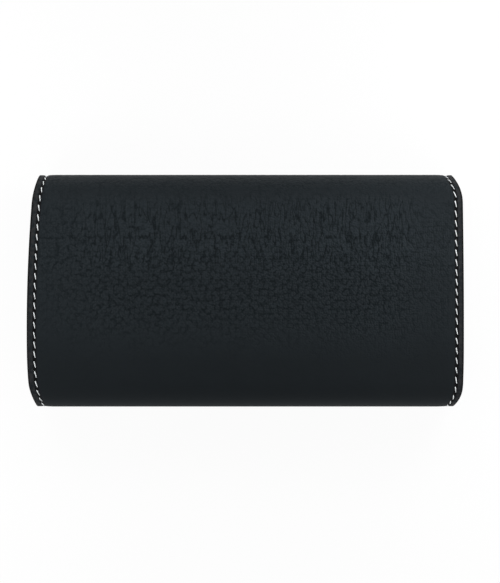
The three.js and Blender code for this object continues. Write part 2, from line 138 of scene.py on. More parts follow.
# Pads, and the cloth simulation that blows up their suede
PAD_END_INSET = 2.0 * MM
PAD_HALF_WIDTH = 92 * MM
PAD_CORNER = 6 * MM
PAD_ROUND = 1.5 * MM
PAD_SEAM = 3.4 * MM
PAD_PINCH = 0.55 * MM
PAD_LIFT = 0.02 * MM
PINCH_WIDTH = 0.8 * MM
PAD_CROWN = 0.8 * MM
PAD_STEP = 0.5 * MM
PAD_MIDDLE_STEP = 2.0 * MM
PUFF_GRID = 2.5 * MM
PUFF_FRAMES = 20
PUFF_SETTINGS = {"quality": 6, "mass": 0.02, "uniform_pressure_force": 4.0, "shrink_min": -0.004}
PUFF_START = 0.15 * MM
PUFF_RANDOM = np.random.default_rng(11)
PAD_PITCH = 3.6 * MM
PAD_THREAD = 0.27 * MM

# Sewing
PITCH = 4.9 * MM
THREAD_RADIUS = 0.26 * MM
CHANNEL_WIDTH = 0.75 * MM
CHANNEL_DEPTH = 0.18 * MM
TRAY_CHANNEL_DEPTH = 0.6 * MM
SEAM_TO_EDGE = 3.6 * MM
END_SEAM_GAP = 4.9 * MM
FAR_FROM_SEAM = 50

# Stitches: how much of the pitch shows, how they lean, dive, narrow, twist and vary
STITCH_SHARE = 0.82
STITCH_TAPER = 0.75
STITCH_TIP = 0.3
LEAN = 0.45 * MM
SEAT = 0.02 * MM
DIVE = 0.62 * MM
ARCH_POWER = 3.2
PLIES = 3
PLY_TURNS = 1.3
PLY_DEPTH = 0.16
STITCH_JITTER = 0.06 * MM
RANDOM = np.random.default_rng(7)

# The stretch round the fold line: its half width
FOLD_HALF = 3 * MM

# The meshes' own grids
COLUMN = 0.8 * MM
ROW = 0.75 * MM
COARSE_ROW = 1.6 * MM
FINE_STEPS = 500
EDGE_INSETS = MM * np.array([
    0, 0.1, 0.25, 0.5, 0.8, 1.2, 1.7, 2.2, 2.6, 2.9, 3.2, 3.5, 3.8, 4.1, 4.5, 5.0, 5.7,
])
END_ROWS = MM * np.array([0, 0.1, 0.25, 0.5, 0.8, 1.05, 1.1])
CORNER_SHARES = np.array([0.35, 0.45, 0.55, 0.65, 0.75, 0.85, 0.95])
OUTLINE_STEP = 0.1 * MM
FAR_FROM_EDGE = 12 * MM
LINING_COLUMN = 2.5 * MM
LINING_ROUND = 0.3 * MM
LINING_INSET = 0.3 * MM
WELD_DISTANCE = 0.002 * MM
SOFTEN_SHARE = 0.28

# The margin outside the seams is pressed a little flatter than the panel inside them
MARGIN_SINK = 0.16 * MM
PILLOW_WIDTH = 9 * MM

# Strength of the grain and of its creases over the cover, by places in mm: from the lip to
# the spine (y), and from left to right (x). It fades at the sheets' edges and their cut.
# Through the tones below, it also sets where the leather's colour carries painted light and shade
GRAIN_BY_Y = (
    [-57, -45, -35, -27, -18, -8, 6, 14, 24, 34, 44, 50, 54, 58],
    [0.12, 0.16, 0.25, 0.5, 0.85, 1.05, 1.1, 1.35, 1.45, 1.25, 1.05, 0.55, 0.15, 0.04],
)
GRAIN_BY_X = ([-109, -98, -70, 70, 90, 109], [0.5, 0.7, 1.0, 1.0, 0.65, 0.5])
CREASE_BY_Y = ([4, 20, 38, 58], [0.0, 0.8, 1.0, 1.0])
CREASE_BY_X = ([-98, -72, 80, 100], [0.2, 0.8, 0.9, 0.3])
BACK_GRAIN = 0.6
FACE_START = 12 * MM
FACE_FULL = 2 * MM
CHANNEL_SMOOTHING = 0.7
SPLIT_FADE = 3 * MM
MARGIN_GRAIN = 1.5 * MM

# The photo: 0.5 mm to a pixel, looked at straight from above
PHOTO_HEIGHT = 583
PIXEL = 0.5 * MM
LENS = 600.0
SENSOR = 36.0
CAMERA_X = 2.35 * MM
CAMERA_Y = -0.2 * MM
FOCUS_Z = 34 * MM

# Stage. Each softbox hangs at a place, has a width and a height, and a power in watts
FLOOR_HALF = 8.0
FLOOR_Z = -0.3 * MM
WHITE_SHARE = 0.93
WORLD_STRENGTH = 0.15
LIGHT_TARGET = Vector((0, 0, 0.03))
SOFTBOXES = {
    "spine_box": ((0.02, 0.13, 0.17), (0.45, 0.06), 0.17),
    "spine_left_box": ((-0.19, 0.12, 0.14), (0.12, 0.2), 0.21),
    "spine_right_box": ((0.20, 0.14, 0.14), (0.12, 0.2), 0.38),
    "left_box": ((-0.24, -0.10, 0.12), (0.12, 0.2), 0.30),
    "right_box": ((0.24, -0.10, 0.12), (0.12, 0.2), 0.26),
    "front_box": ((0.0, -0.40, 0.20), (0.8, 0.1), 0.75),
}

fold_line = Vector(frame["joints"][0]["pos_m"])
cover_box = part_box("cover_leather")
lip_y = cover_box[0].y
lip_end_z = cover_box[0].z
cover_z = cover_box[1].z - COVER_CROWN
spine_y = lip_y + CASE_DEPTH
front_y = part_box("tray_leather")[0].y
spine_roll_y = spine_y - SPINE_REACH
lip_roll_y = lip_y + LIP_REACH
front_roll_y = front_y + FRONT_REACH
wall_front_y = front_y + INSIDE + GUSSET_THICKNESS


def rounded(distance, radius):
    """How far a quarter round has dropped at a distance from its edge, as a share of its radius."""
    return 1 - np.sqrt(1 - np.clip(1 - distance / radius, 0, 1) ** 2)


# The side view

def line(start, end, kind, turn):
    y, z = np.linspace(start, end, FINE_STEPS).T
    return kind, y, z, np.full(FINE_STEPS, float(turn))


def arc(centre, reach, rise, start, end, kind):
    angle = np.radians(np.linspace(start, end, FINE_STEPS))
    y = centre[0] + reach * np.cos(angle)
    z = centre[1] + rise * np.sin(angle)
    return kind, y, z, np.abs(np.cos(angle))


def crown():
    share = np.linspace(1, -1, FINE_STEPS)
    y = (spine_roll_y + lip_roll_y) / 2 + share * (spine_roll_y - lip_roll_y) / 2
    z = cover_z + COVER_CROWN * (1 + np.cos(math.pi * share)) / 2
    return "flat", y, z, np.zeros(FINE_STEPS)


def reach_of(end, kind, y, z, turn):
    """How far the leather reaches from the middle, on one end of the case."""
    share = (y - WIDEST_LINE) / (spine_y - WIDEST_LINE)
    near_lip = np.clip(1 - (y - lip_y) / LIP_TAPER_LENGTH, 0, 1)
    reach = CASE_WIDTH / 2 - end["spine_taper"] * share**2 - end["lip_taper"] * near_lip**2
    if kind == "spine":
        reach -= end["spine_draw"] * turn ** end["spine_power"]
    if kind == "lip":
        reach -= end["lip_draw"] * turn ** end["lip_power"]
        reach -= LIP_CORNER * rounded(z - lip_end_z, LIP_CORNER)
    if kind == "tray":
        reach -= TRAY_DRAW * turn
    return reach


def run_along(points):
    """Length along a line of flat points, from its start to each of them."""
    return np.hstack([[0], np.cumsum(np.hypot(*np.diff(points, axis=0).T))])


def side_view():
    """The whole path as arrays over s, and the s at which each named stretch starts."""
    middle = cover_z / 2
    stretches = {
        "wall": line((front_y, FRONT_WALL_TOP), (front_y, FRONT_RISE), "tray", 1),
        "front_roll": arc((front_roll_y, FRONT_RISE), FRONT_REACH, FRONT_RISE, 180, 270, "tray"),
        "base": line((front_roll_y, 0), (spine_roll_y, 0), "flat", 0),
        "spine": arc((spine_roll_y, middle), SPINE_REACH, middle, -90, 90, "spine"),
        "crown": crown(),
        "lip_roll": arc((lip_roll_y, LIP_ROLL_Z), LIP_REACH, cover_z - LIP_ROLL_Z, 90, 180, "lip"),
        "lip": line((lip_y, LIP_ROLL_Z), (lip_y, lip_end_z), "lip", 1),
    }
    parts = []
    for kind, y, z, turn in stretches.values():
        reach = [reach_of(end, kind, y, z, turn) for end in ENDS.values()]
        parts.append(np.stack([y, z, *reach])[:, 1 if parts else 0:])
    path = dict(zip(("y", "z", "left", "right"), np.hstack(parts)))
    path["s"] = run_along(np.column_stack([path["y"], path["z"]]))
    path["ny"] = np.gradient(path["z"], path["s"])
    path["nz"] = -np.gradient(path["y"], path["s"])
    return path, dict(zip(stretches, path["s"][::FINE_STEPS - 1]))


PATH, START = side_view()
ABOVE = PATH["s"] > START["crown"]
REAR = (PATH["s"] > START["spine"]) & ~ABOVE
S_END = PATH["s"][-1]
S_SPLIT = START["base"] + 2 * MM
S_FOLD = float(np.interp(fold_line.z, PATH["z"][REAR], PATH["s"][REAR]))
FOLD_START, FOLD_STOP = S_FOLD - 2 * FOLD_HALF, S_FOLD + 2 * FOLD_HALF


def at(key, s):
    return np.interp(s, PATH["s"], PATH[key])


def together(x, y, z):
    """Arrays of x, y and z as one array of points."""
    return np.stack(np.broadcast_arrays(x, y, z), axis=-1)


def fold_up(x, s, depth):
    """Points of the folded case from flat x, s and depth."""
    ny, nz = at("ny", s), at("nz", s)
    length = np.hypot(ny, nz)
    return together(x, at("y", s) - depth * ny / length, at("z", s) - depth * nz / length)


def steps(start, end, spacing):
    count = max(2, int(math.ceil(abs(end - start) / spacing)) + 1)
    return np.linspace(start, end, count)


def rows_over(starts, end):
    """Places along stretches that follow each other. starts has each one's start and spacing."""
    ends = [start for start, _ in starts[1:]] + [end]
    rows = [steps(start, stop, spacing) for (start, spacing), stop in zip(starts, ends)]
    return np.unique(np.hstack(rows))


def smooth(value, low, high):
    """0 up to low, 1 from high on, and a smooth rise between; also falls if high is below low."""
    share = np.clip((value - low) / (high - low), 0, 1)
    return share * share * (3 - 2 * share)


WALL_ROWS = steps(GUSSET_START, S_FOLD - SOFT_FOLD, COARSE_ROW)
ARCH_ROWS = steps(S_FOLD + SOFT_FOLD, START["lip"], ROW)


# Objects and meshes

def adjust(thing, **settings):
    """Gives a node, modifier, lamp or camera these settings, and gives it back."""
    for key, value in settings.items():
        setattr(thing, key, value)
    return thing


def add_object(name, data):
    thing = bpy.data.objects.new(name, data)
    bpy.context.scene.collection.objects.link(thing)
    return thing


def values_of(items, key, width=1, kind=float):
    """One property of all vertices, faces or triangles, as rows of width numbers."""
    values = np.zeros(len(items) * width, kind)
    items.foreach_get(key, values)
    return values.reshape(-1, width)


def signed_volume(mesh):
    mesh.calc_loop_triangles()
    corners = values_of(mesh.loop_triangles, "vertices", 3, int)
    a, b, c = values_of(mesh.vertices, "co", 3)[corners].transpose(1, 0, 2)
    return float((a * np.cross(b, c)).sum())


def add_piece(name, points, faces, materials, slots=None, flat_faces=()):
    mesh = bpy.data.meshes.new(name)
    mesh.from_pydata(np.asarray(points).reshape(-1, 3).tolist(), [], faces)
    for material in materials:
        mesh.materials.append(material)
    if slots is not None:
        mesh.polygons.foreach_set("material_index", slots)
    smooth_faces = np.ones(len(mesh.polygons), bool)
    smooth_faces[list(flat_faces)] = False
    mesh.polygons.foreach_set("use_smooth", smooth_faces)
    mesh.update()
    if signed_volume(mesh) < 0:
        mesh.flip_normals()
    return add_object(name, mesh)


def grid_faces(rows, columns, closed=False):
    """Quads between the rows of a grid, each of which may close on itself."""
    across = np.arange(columns if closed else columns - 1)
    i, j = np.meshgrid(np.arange(rows - 1), across, indexing="ij")
    a, b = i * columns + j, i * columns + (j + 1) % columns
    return np.stack([a, b, b + columns, a + columns], axis=-1).reshape(-1, 4).tolist()


def ring_faces(rings, count):
    """Quads between closed rings of count points each, and a many-sided cap at both ends."""
    first, last = range(count), range((rings - 1) * count, rings * count)
    return grid_faces(rings, count, closed=True) + [list(first)[::-1], list(last)]


def shifted(faces, by):
    return [[by + corner for corner in face] for face in faces]


def closed_sheet(name, x, s, depth, materials, slots=None, flat_caps=True):
    """A piece from one closed loop of flat places to a row, with its two end faces last."""
    faces = ring_faces(*x.shape)
    caps = range(len(faces) - 2, len(faces)) if flat_caps else ()
    piece = add_piece(name, fold_up(x, s, depth), faces, materials, slots, caps)
    materials[0].name.split(".")[0]
    return piece


def store(piece, name, values):
    """Keeps a number or a vector for each vertex, which the materials read."""
    values = np.asarray(values, np.float32)
    kind, key = ("FLOAT", "value") if values.ndim == 1 else ("FLOAT_VECTOR", "vector")
    attribute = piece.data.attributes.new(name, kind, "POINT")
    attribute.data.foreach_set(key, values.ravel())


def bake_modifiers(piece):
    """The piece's modifiers become part of its mesh."""
    graph = bpy.context.evaluated_depsgraph_get()
    mesh = bpy.data.meshes.new_from_object(piece.evaluated_get(graph))
    piece.modifiers.clear()
    piece.data = mesh
    return piece


# Nodes

class Nodes:
    """Short calls that add nodes to a shader or geometry tree and give back their outputs.

    On the stored flat places, which are in millimetres, a scale of 1 is one wave to a mm."""

    def __init__(self, tree):
        self.tree = tree

    def fill(self, node, inputs):
        """Links or sets a node's inputs. None leaves one as it is."""
        for name, value in inputs.items():
            if isinstance(value, bpy.types.NodeSocket):
                self.tree.links.new(value, node.inputs[name])
            elif value is not None:
                node.inputs[name].default_value = value
        return node

    def add(self, kind, inputs=None, **settings):
        return self.fill(adjust(self.tree.nodes.new(kind), **settings), inputs or {})

    def read(self, name, kind="FLOAT"):
        if self.tree.type == "GEOMETRY":
            node = self.add("GeometryNodeInputNamedAttribute", {"Name": name}, data_type=kind)
            return next(output for output in node.outputs if output.enabled)
        node = self.add("ShaderNodeAttribute", attribute_name=name)
        return node.outputs["Vector" if kind == "FLOAT_VECTOR" else "Fac"]

    def flat(self):
        return self.read("flat_mm", "FLOAT_VECTOR")

    def maths(self, operation, *values):
        return self.add("ShaderNodeMath", dict(enumerate(values)), operation=operation).outputs[0]

    def plus(self, a, b):
        return self.maths("ADD", a, b)

    def minus(self, a, b):
        return self.maths("SUBTRACT", a, b)

    def times(self, a, b):
        return self.maths("MULTIPLY", a, b)

    def vector(self, operation, *values):
        inputs = dict(enumerate(values))
        return self.add("ShaderNodeVectorMath", inputs, operation=operation).outputs[0]

    def scaled(self, vector, factor):
        inputs = {0: vector, "Scale": factor}
        return self.add("ShaderNodeVectorMath", inputs, operation="SCALE").outputs[0]

    def split(self, vector):
        return self.add("ShaderNodeSeparateXYZ", {0: vector}).outputs

    def noise(self, place, scale, detail=2.0, output="Fac"):
        inputs = {"Vector": place, "Scale": scale, "Detail": detail}
        return self.add("ShaderNodeTexNoise", inputs).outputs[output]

    def voronoi(self, feature, place, scale, **more):
        inputs = {"Vector": place, "Scale": scale, **more}
        node = self.add("ShaderNodeTexVoronoi", inputs, voronoi_dimensions="2D", feature=feature)
        return node.outputs["Distance"]

    def domes(self, place, scale):
        """Distance to the middle of the nearest of many cells, rounded off between them."""
        return self.voronoi("SMOOTH_F1", place, scale, Smoothness=0.35, Randomness=0.8)

    def cells(self, place, scale):
        """Distance to the nearest border between cells, 0 on the border."""
        return self.voronoi("DISTANCE_TO_EDGE", place, scale)

    def ramp(self, value, low, high, start=0.0, end=1.0):
        """A smooth change from start to end while value goes from low to high."""
        inputs = {0: value, 1: low, 2: high, 3: start, 4: end}
        return self.add("ShaderNodeMapRange", inputs, interpolation_type="SMOOTHSTEP").outputs[0]

    def mix(self, share, a, b):
        return self.add("ShaderNodeMix", {0: share, 2: a, 3: b}, data_type="FLOAT").outputs[0]

    def colour(self, share, a, b):
        return self.add("ShaderNodeMix", {0: share, 6: a, 7: b}, data_type="RGBA").outputs[2]

    def bump(self, height, distance, before=None):
        inputs = {"Height": height, "Distance": distance, "Normal": before}
        return self.add("ShaderNodeBump", inputs).outputs["Normal"]

    def shade(self, colour, roughness, normal=None, shine=0.5, **more):
        """Fills in the Principled shader. shine is the strength of its plain reflection."""
        looks = {"Base Color": colour, "Roughness": roughness, "Normal": normal}
        shader = self.tree.nodes["Principled BSDF"]
        return self.fill(shader, {**looks, "Specular IOR Level": shine, **more})


def new_material(name, preview):
    """A material with a Principled shader, and the helper that adds nodes to it."""
    material = bpy.data.materials.new(name)
    material.use_nodes = True
    material.diffuse_color = (*preview, 1)
    return material, Nodes(material.node_tree)


def rgba(red, green, blue):
    return (red, green, blue, 1)


# Leather. The grain's height is worked out once, for the mesh and for the material

# The grain's sizes in mm: pebbles, gap and length of the creases, and how far both sway
PEBBLE = 2.4
SMALL_PEBBLE = 1.15
CREASE_GAP = 2.5
CREASE_LENGTH = 11.0
WANDER = 1.5
CREASE_WANDER = 0.6

# Where a pebble rises, as shares of its size from its middle, and a crease, in its noise
PEBBLE_SHARES = (0.6, 0.32)
SMALL_PEBBLE_SHARES = (0.58, 0.28)
CREASE_RISE = 0.07
PEBBLES_IN_CREASES = 0.36

# Relief, the last four as bumps in the shader
GRAIN_DEPTH = 0.11 * MM
GRAIN_BUMP = 0.36 * MM
HOLE_BUMP = 0.4 * MM
CELL_BUMP = 0.03 * MM
PORE_BUMP = 0.05 * MM

# Tones, partly the hide's own and partly painted light and shade: a factor on the smooth hide's colour, which
# paints it darker where the grain fades, and what open grain and creases add to it as painted light
SMOOTH_TONE_AND_SHADE = 0.48
OPEN_GRAIN_TONE_AND_LIGHT = 0.49
CREASED_PAINTED_LIGHT = 0.1
LEATHER_TOP = rgba(0.0133, 0.0182, 0.0218)
LEATHER_TINT = rgba(0.0141, 0.0192, 0.0229)
# the valleys' colour is painted shade
LEATHER_VALLEY_SHADE = rgba(0.0040, 0.0071, 0.0089)
LEATHER_MARGIN = rgba(0.0210, 0.0215, 0.0226)
# the channel's and the holes' colours are painted shade
CHANNEL_SHADE_COLOUR = rgba(0.0022, 0.0027, 0.0032)
HOLE_SHADE_COLOUR = rgba(0.0008, 0.0008, 0.0009)
EDGE_PAINT = rgba(0.0018, 0.0019, 0.0021)
EDGE_BLOTCH = rgba(0.0045, 0.0045, 0.0050)

# In mm: where the margin's lighter tone starts and is full, and the same for the painted shade of hole and channel
MARGIN_MM = (4.6, 2.2)
HOLE_MM = (1.0, 0.45)
CHANNEL_MM = (1.3, 0.7)
CHANNEL_SHADE = 0.8


def grain_height(n):
    """0 in a valley of the hide, 1 on a pebble. Creases are the middle lines of long noise."""
    flat = n.flat()
    sway = n.vector("SUBTRACT", n.noise(flat, 0.16, 2.0, "Color"), (0.5, 0.5, 0.5))
    place = n.vector("ADD", flat, n.vector("MULTIPLY", sway, (WANDER, WANDER, 0)))
    straighter = n.vector("ADD", flat, n.vector("MULTIPLY", sway, (CREASE_WANDER, CREASE_WANDER, 0)))
    pebbles = n.ramp(n.domes(place, 1 / PEBBLE), *PEBBLE_SHARES)
    small = n.ramp(n.domes(place, 1 / SMALL_PEBBLE), *SMALL_PEBBLE_SHARES)
    mixed = n.mix(0.5, pebbles, small)
    stretched = n.vector("MULTIPLY", straighter, (1 / CREASE_GAP, 1 / CREASE_LENGTH, 0))
    from_crease = n.maths("ABSOLUTE", n.minus(n.noise(stretched, 1.0, 1.0), 0.5))
    creased = n.mix(PEBBLES_IN_CREASES, n.ramp(from_crease, 0.0, CREASE_RISE), mixed)
    height = n.mix(n.read("creased"), mixed, creased)
    grain = n.read("grain")
    patches = n.maths("MULTIPLY_ADD", grain, 0.5, n.noise(place, 0.12, 3.0))
    amount = n.times(grain, n.ramp(patches, 0.55, 0.9, 0.4, 1.0))
    return n.minus(1.0, n.times(amount, n.minus(1.0, height)))


def press_grain(piece):
    """Presses the grain into the leather's outer face, as real relief in its mesh."""
    group = bpy.data.node_groups.new("press_grain", "GeometryNodeTree")
    for side in ("INPUT", "OUTPUT"):
        group.interface.new_socket("Geometry", in_out=side, socket_type="NodeSocketGeometry")
    n = Nodes(group)
    start = n.add("NodeGroupInput").outputs[0]
    low = n.times(n.minus(grain_height(n), 1.0), GRAIN_DEPTH)
    offset = n.scaled(n.add("GeometryNodeInputNormal").outputs[0], low)
    move = n.add("GeometryNodeSetPosition", {"Geometry": start, "Offset": offset})
    n.add("NodeGroupOutput", {0: move.outputs[0]})
    piece.modifiers.new("press_grain", "NODES").node_group = group
    return bake_modifiers(piece)


def needle_holes(n):
    """1 in a needle hole, and 1 in the thread's channel between the holes.

    seam holds the place along a seam in stitches, and across it in mm."""
    along, across, _ = n.split(n.read("seam", "FLOAT_VECTOR"))
    from_hole = n.minus(n.maths("FRACT", n.plus(along, 0.5)), 0.5)
    along_mm = n.times(from_hole, PITCH / MM)
    squares = n.plus(n.maths("POWER", along_mm, 2.0), n.maths("POWER", across, 2.0))
    hole = n.ramp(n.maths("SQRT", squares), *HOLE_MM)
    return hole, n.ramp(n.maths("ABSOLUTE", across), *CHANNEL_MM)


def leather_material():
    """Black hide: valleys in painted shade, tops in painted light and shade that are lighter in open grain and
    creases and darker where it is smooth, partly the hide's own tone, and a rubbed margin.
    """
    material, n = new_material("black_leather", LEATHER_TOP[:3])
    place, height, grain = n.flat(), grain_height(n), n.read("grain")
    tint = n.ramp(n.noise(place, 0.07, 3.0), 0.3, 0.7)
    # painted light and shade, partly the hide's own tone: lighter where the grain is open and creased, darker
    # where the hide is smooth
    tone_and_painted_light = n.maths("MULTIPLY_ADD", grain, OPEN_GRAIN_TONE_AND_LIGHT, SMOOTH_TONE_AND_SHADE)
    tone_and_painted_light = n.maths("MULTIPLY_ADD", n.read("creased"), CREASED_PAINTED_LIGHT, tone_and_painted_light)
    top = n.scaled(n.colour(tint, LEATHER_TOP, LEATHER_TINT), tone_and_painted_light)
    # painted shade: the grain's valleys are darker
    colour = n.colour(height, LEATHER_VALLEY_SHADE, top)
    rubbed = n.ramp(n.noise(place, 0.5, 3.0), 0.35, 0.62)
    colour = n.colour(n.times(n.ramp(n.read("edge_mm"), *MARGIN_MM), rubbed), colour, LEATHER_MARGIN)
    hole, channel = needle_holes(n)
    # painted shade in the thread's channel and in the needle holes
    colour = n.colour(n.times(channel, CHANNEL_SHADE), colour, CHANNEL_SHADE_COLOUR)
    colour = n.colour(hole, colour, HOLE_SHADE_COLOUR)
    pores = n.times(n.noise(place, 2.6, 3.0), n.ramp(grain, 0.0, 1.0, 0.12, 1.0))
    gloss = n.mix(n.ramp(grain, 0.1, 0.9), 0.85, n.mix(height, 0.8, 0.6))
    roughness = n.plus(gloss, n.times(n.minus(pores, 0.5), 0.16))
    fine = n.bump(n.cells(place, 1.9), CELL_BUMP, n.bump(pores, PORE_BUMP))
    normal = n.bump(n.minus(1.0, hole), HOLE_BUMP, n.bump(height, GRAIN_BUMP, fine))
    n.shade(colour, roughness, normal, 0.12)
    return material


def edge_material():
    material, n = new_material("edge_paint", EDGE_PAINT[:3])
    blotch = n.noise(n.flat(), 0.6, 3.0)
    normal = n.bump(n.noise(n.flat(), 1.4, 2.0), 0.08 * MM)
    colour = n.colour(blotch, EDGE_PAINT, EDGE_BLOTCH)
    n.shade(colour, n.ramp(blotch, 0.2, 0.8, 0.55, 0.75), normal, 0.08)
    return material


def gusset_material():
    """Thinner leather with a fine grain of small cells, whose borders are darker with painted shade."""
    top = rgba(0.0144, 0.0178, 0.0203)
    material, n = new_material("gusset_leather", top[:3])
    grain = n.ramp(n.cells(n.flat(), 0.75), 0.0, 0.2)
    # painted shade along the borders of the grain's cells
    colour = n.colour(grain, rgba(0.0075, 0.0095, 0.0110), top)
    normal = n.bump(grain, 0.07 * MM, n.bump(n.noise(n.flat(), 2.4, 3.0), 0.04 * MM))
    n.shade(colour, n.mix(grain, 0.75, 0.58), normal, 0.3)
    return material


def suede_material(name, dark, light, scale):
    """Napped suede: short fibres brushed one way and another, with a soft sheen."""
    material, n = new_material(name, light[:3])
    place = n.flat()
    brushed = n.noise(place, 0.06 * scale, 2.0)
    nap = n.noise(n.vector("MULTIPLY", place, (1.0, 0.45, 1.0)), 3.2 * scale, 4.0)
    share = n.plus(n.times(nap, 0.6), n.times(brushed, 0.5))
    colour = n.colour(n.ramp(share, 0.3, 0.8), dark, light)
    sheen = {"Sheen Weight": 0.12, "Sheen Roughness": 0.6}
    n.shade(colour, 0.95, n.bump(nap, 0.12 * MM), 0.1, **sheen)
    return material


def thread_material():
    """Waxed linen thread, with painted shade in the grooves where the plies meet and towards its ends, where they
    dive into their holes.
    """
    material, n = new_material("sewing_thread", (0.687, 0.651, 0.565))
    stored = n.read("ply", "FLOAT_VECTOR")
    ply, end_shade, _ = n.split(stored)
    fibres = n.noise(stored, 9.0, 3.0)
    # painted shade in the grooves between the plies, and towards the thread's ends where they dive into their
    # holes
    colour = n.colour(n.ramp(ply, 0.0, 0.75), rgba(0.56, 0.58, 0.59), rgba(0.86, 0.89, 0.90))
    colour = n.colour(n.times(n.ramp(end_shade, 0.35, 1.0), 0.45), colour, rgba(0.38, 0.38, 0.38))
    colour = n.colour(n.times(fibres, 0.25), colour, rgba(0.72, 0.74, 0.74))
    n.shade(colour, n.ramp(fibres, 0.3, 0.7, 0.5, 0.72), n.bump(fibres, 0.06 * MM), 0.4)
    return material


def board_material():
    """Bonded fibre board. Here and on the magnets a scale is in waves to a metre."""
    material, n = new_material("fibre_board", (0.159, 0.102, 0.0578))
    place = n.add("ShaderNodeTexCoord").outputs["Object"]
    flakes = n.noise(place, 420.0, 5.0)
    streaks = n.noise(n.vector("MULTIPLY", place, (0.3, 1.0, 1.0)), 900.0, 3.0)
    share = n.ramp(n.times(n.plus(flakes, streaks), 0.5), 0.35, 0.65)
    colour = n.colour(share, rgba(0.10, 0.062, 0.035), rgba(0.21, 0.14, 0.082))
    n.shade(colour, 0.9, n.bump(flakes, 0.08 * MM))
    return material


def nickel_material():
    material, n = new_material("magnet_nickel", (0.456, 0.474, 0.491))
    place = n.add("ShaderNodeTexCoord").outputs["Object"]
    scratches = n.noise(n.vector("MULTIPLY", place, (1.0, 1.0, 9.0)), 700.0, 3.0)
    colour = n.colour(scratches, rgba(0.40, 0.42, 0.44), rgba(0.52, 0.53, 0.54))
    roughness = n.ramp(scratches, 0.3, 0.7, 0.22, 0.4)
    n.shade(colour, roughness, n.bump(scratches, 0.01 * MM), Metallic=1.0)
    return material


black_leather = leather_material()
edge_paint = edge_material()
gusset_leather = gusset_material()
suede_lining = suede_material("suede_lining", rgba(0.018, 0.020, 0.023), rgba(0.044, 0.049, 0.056), 1.0)
pad_suede = suede_material("pad_suede", rgba(0.024, 0.026, 0.030), rgba(0.054, 0.059, 0.067), 0.9)
sewing_thread = thread_material()
fibre_board = board_material()
magnet_nickel = nickel_material()


# The leather wrap

def columns_at(s):
    """x of the mesh's columns at each row: close near the edges, even in between."""
    count = int(2 * (CASE_WIDTH / 2 - EDGE_INSETS[-1]) / COLUMN)
    near_left = -at("left", s)[:, None] + EDGE_INSETS
    near_right = at("right", s)[:, None] - EDGE_INSETS[::-1]
    share = np.linspace(0, 1, count + 1)[1:-1]
    middle = near_left[:, -1:] + (near_right[:, :1] - near_left[:, -1:]) * share
    return np.hstack([near_left, middle, near_right])


def edge_distance(x, s, end_s):
    """Distance of flat places to the sheet's sides and its real end, as far as it matters."""
    run = steps(s.min() - FAR_FROM_EDGE, s.max() + FAR_FROM_EDGE, OUTLINE_STEP)
    run = run[(run >= s.min()) & (run <= s.max())]
    across = steps(-at("left", end_s), at("right", end_s), OUTLINE_STEP)
    outline = [(-at("left", run), run), (at("right", run), run), (across, end_s + 0 * across)]
    flat = np.vstack([np.column_stack(part) for part in outline])
    tree = KDTree(len(flat))
    for index, (px, ps) in enumerate(flat):
        tree.insert((px, ps, 0), index)
    tree.balance()
    from_side = np.minimum(x + at("left", s), at("right", s) - x)
    near = np.minimum(from_side, np.abs(s - end_s))
    for index in np.flatnonzero(near < FAR_FROM_EDGE):
        near.flat[index] = tree.find((x.flat[index], s.flat[index], 0))[2]
    return near


def channel_depth(s):
    """The cover's stitches stand a little proud; the tray's are sunk out of the table's way."""
    on_cover = smooth(s, S_FOLD - SOFT_FOLD, S_FOLD + SOFT_FOLD)
    return TRAY_CHANNEL_DEPTH + (CHANNEL_DEPTH - TRAY_CHANNEL_DEPTH) * on_cover


def stitch_start(end):
    """The s at which one of this end's stitches begins, as the photo's rows have it."""
    middle = np.interp(-end["stitch_at"], -PATH["y"][ABOVE], PATH["s"][ABOVE])
    return middle - PITCH / 2


def inward(end_s):
    """The direction along s that leads from a real end into its sheet."""
    return 1 if end_s < S_FOLD else -1


def end_seam_span(end_s):
    """Where the seam along x starts and ends: whole stitches, centred between the side seams."""
    low = -at("left", end_s) + ENDS["left"]["seam_inset"] + END_SEAM_GAP
    high = at("right", end_s) - ENDS["right"]["seam_inset"] - END_SEAM_GAP
    if end_s > S_FOLD:
        low, high = low - LIP_CORNER, high + LIP_CORNER
    spare = (high - low) % PITCH
    return low + spare / 2, high - spare / 2


def seam_places(x, s, end_s):
    """For each flat place: how many stitches along the nearest seam, and mm across it."""
    first, last = end_seam_span(end_s)
    past = np.maximum(np.maximum(first - x, x - last), 0)
    along = (x - first) / PITCH
    across = np.hypot(s - end_s - inward(end_s) * SEAM_TO_EDGE, past) / MM
    for side, end in ENDS.items():
        offset = (x - end["sign"] * (at(side, s) - end["seam_inset"])) / MM
        nearer = np.abs(offset) <= np.abs(across)
        along = np.where(nearer, (s - stitch_start(end)) / PITCH, along)
        across = np.where(nearer, offset, across)
    return along, across


def grain_masks(x, s):
    """How strong the grain is, and how far it is drawn out into creases, at flat places."""
    x, y = x / MM, at("y", s) / MM
    on_face = smooth(s, START["crown"] - FACE_START, START["crown"] + FACE_FULL)
    creased = np.interp(y, *CREASE_BY_Y) * np.interp(x, *CREASE_BY_X) * on_face
    on_front = np.interp(y, *GRAIN_BY_Y) * np.interp(x, *GRAIN_BY_X)
    return BACK_GRAIN + (on_front - BACK_GRAIN) * on_face, creased


